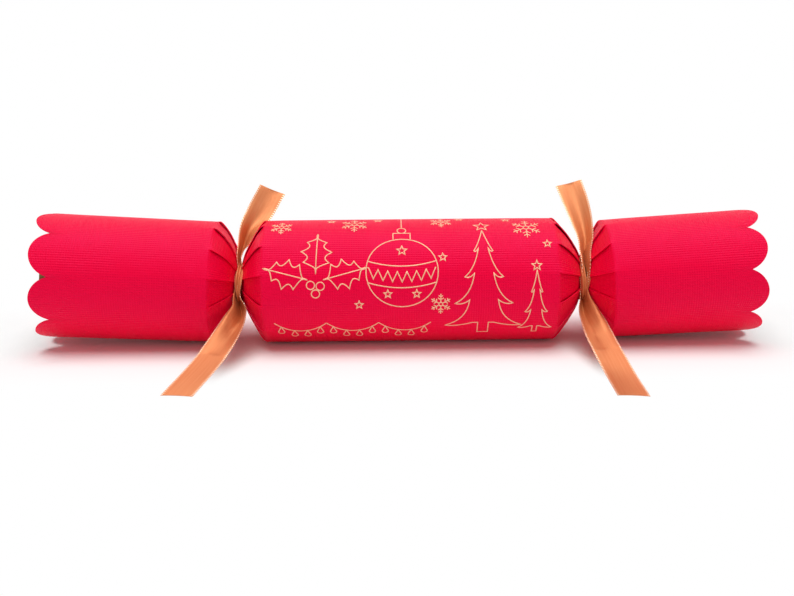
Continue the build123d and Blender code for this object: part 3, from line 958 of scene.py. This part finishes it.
def floor():
    """A wide white table top that keeps the shadow near the object and is plain white further off."""
    material, shader, output = new_material("floor")
    shader.inputs["Base Color"].default_value = floor_white
    shader.inputs["Roughness"].default_value = 0.9
    shader.inputs["Specular IOR Level"].default_value = 0.0
    place = add(material, "SeparateXYZ", {"Vector": add(material, "NewGeometry").outputs["Position"]})
    aside = maths(material, "ABSOLUTE", place.outputs["Y"])
    past_side = remap(material, aside, shadow_side_from * MM, shadow_side_to * MM, curve="SMOOTHSTEP")
    along = maths(material, "ABSOLUTE", place.outputs["X"])
    past_end = remap(material, along, shadow_end_from * MM, shadow_end_to * MM, curve="SMOOTHSTEP")
    share = maths(material, "MULTIPLY", seen(material), maths(material, "MAXIMUM", past_side, past_end))
    white = add(material, "Emission", {"Color": plain_white, "Strength": 1.0})
    mixed = add(material, "MixShader", {0: share, 1: shader.outputs["BSDF"], 2: white.outputs["Emission"]})
    link(material, mixed.outputs["Shader"], output.inputs["Surface"])
    half = floor_half * MM
    corners = [(-half, -half, 0), (half, -half, 0), (half, half, 0), (-half, half, 0)]
    mesh = bpy.data.meshes.new("floor")
    mesh.from_pydata(corners, [], [(0, 1, 2, 3)])
    add_object("floor", mesh, [material])


def light():
    """A soft tent of light with more of it from above. What is seen of it is plain white."""
    world = bpy.data.worlds.new("tent")
    bpy.context.scene.world = world
    world.use_nodes = True
    world.node_tree.nodes.clear()
    way = add(world, "SeparateXYZ", {"Vector": add(world, "TexCoord").outputs["Generated"]})
    strength = remap(world, way.outputs["Z"], horizon_top, sky_base, horizon_strength, sky_strength,
                     curve="SMOOTHSTEP")
    tent = add(world, "Background", {"Color": plain_white, "Strength": strength})
    white = add(world, "Background", {"Color": plain_white, "Strength": 1.0})
    mixed = add(world, "MixShader",
                {0: seen(world), 1: tent.outputs["Background"], 2: white.outputs["Background"]})
    add(world, "OutputWorld", {"Surface": mixed.outputs["Shader"]})
    sun = bpy.data.lights.new("overhead", "SUN")
    sun.energy = overhead_strength
    sun.angle = math.radians(overhead_spread)
    lamp = bpy.data.objects.new("overhead", sun)
    lamp.rotation_euler = (math.radians(overhead_tilt), 0, 0)
    bpy.context.collection.objects.link(lamp)


# Printed card and its gold lines
card_material = printed_card()
reverse_material = paper("card_reverse", linear(238, 228, 222), linear(226, 214, 206))
foil_material = gold_foil()
barrel_card = barrel_sleeve()
left_card = end_sleeve("left_end_card", left_end)
right_card = end_sleeve("right_end_card", right_end)
for skin, node, body in ((barrel_card, "barrel_sleeve", "barrel"), (left_card, "left_end_sleeve", "left_end"),
                         (right_card, "right_end_sleeve", "right_end")):
    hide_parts(node)
    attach(skin, body)
gold = gold_lines()
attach(gold, "barrel")

# Ribbons
ribbon_material = satin()
left_cloth = ribbon("left_ribbon_cloth", left_bow)
right_cloth = ribbon("right_ribbon_cloth", right_bow)
for cloth, node, body in ((left_cloth, "left_ribbon", "left_end"),
                          (right_cloth, "right_ribbon", "right_end")):
    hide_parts(node)
    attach(cloth, body)

# Inner pieces
snap_card = paper("snap_card", linear(160, 130, 84), linear(132, 104, 64))
plain_card = paper("plain_card", linear(214, 206, 190), linear(190, 180, 160))
charge = paper("charge", linear(82, 72, 66), linear(52, 46, 44), fibre_scale=3000.0, roughness=0.95)
grit = paper("grit", linear(120, 106, 96), linear(82, 70, 64), fibre_scale=4000.0, roughness=0.95)
tissue = paper("tissue", linear(244, 186, 42), linear(236, 168, 28), fibre_scale=700.0, roughness=0.7)
rework("barrel_liner_card", "barrel_liner", "barrel", plain_card, behind_shoulders)
rework("left_snap_card", "left_snap_strip", "left_end", snap_card, out_to_notch)
paint("right_snap_strip", snap_card)
paint("snap_charge", charge)
paint("snap_grit", grit)
paint("snap_band", paper("band_paper", linear(226, 214, 192), linear(208, 194, 168)))
paint("paper_hat", tissue)
paint("motto_slip", paper("slip_paper", linear(244, 243, 238), linear(232, 230, 222)))
paint("spinning_top", turned_wood())

# Stage
place_camera()
floor()
light()
bpy.context.scene.view_settings.view_transform = "Standard"
